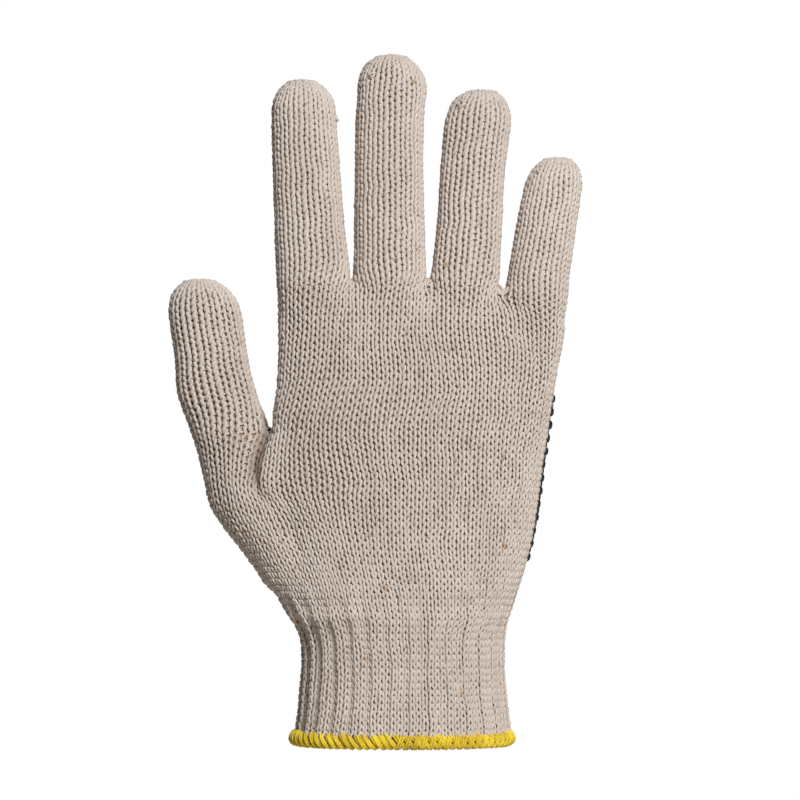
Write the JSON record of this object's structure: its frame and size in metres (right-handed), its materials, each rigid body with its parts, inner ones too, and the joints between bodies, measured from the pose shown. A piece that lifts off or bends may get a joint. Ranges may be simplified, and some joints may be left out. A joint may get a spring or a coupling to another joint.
{
  "type": "pvc dotted knit glove",
  "caption": "Seamless string-knit work glove for the right hand, with a ribbed wrist, an overlocked hem and grip dots over the palm side.",
  "frame": {"origin": "middle of the wrist opening, level with the lower rim of the hem", "axes": "+Z to the fingertips, -Y out of the back of the hand, -X to the thumb"},
  "size_m": [0.1435, 0.0554, 0.2398],
  "materials": {
    "cotton_knit": "natural unbleached cotton yarn in plain knit, matte and slightly fuzzy",
    "hem_yarn": "yellow overlock yarn, matte",
    "pvc_dots": "black soft PVC, satin"
  },
  "bodies": {
    "root": {"index_finger": "cotton_knit", "middle_finger": "cotton_knit", "ring_finger": "cotton_knit", "little_finger": "cotton_knit", "thumb": "cotton_knit", "palm_body": "cotton_knit", "wrist_cuff": "cotton_knit", "cuff_hem": "hem_yarn"}
  },
  "joints": []
}
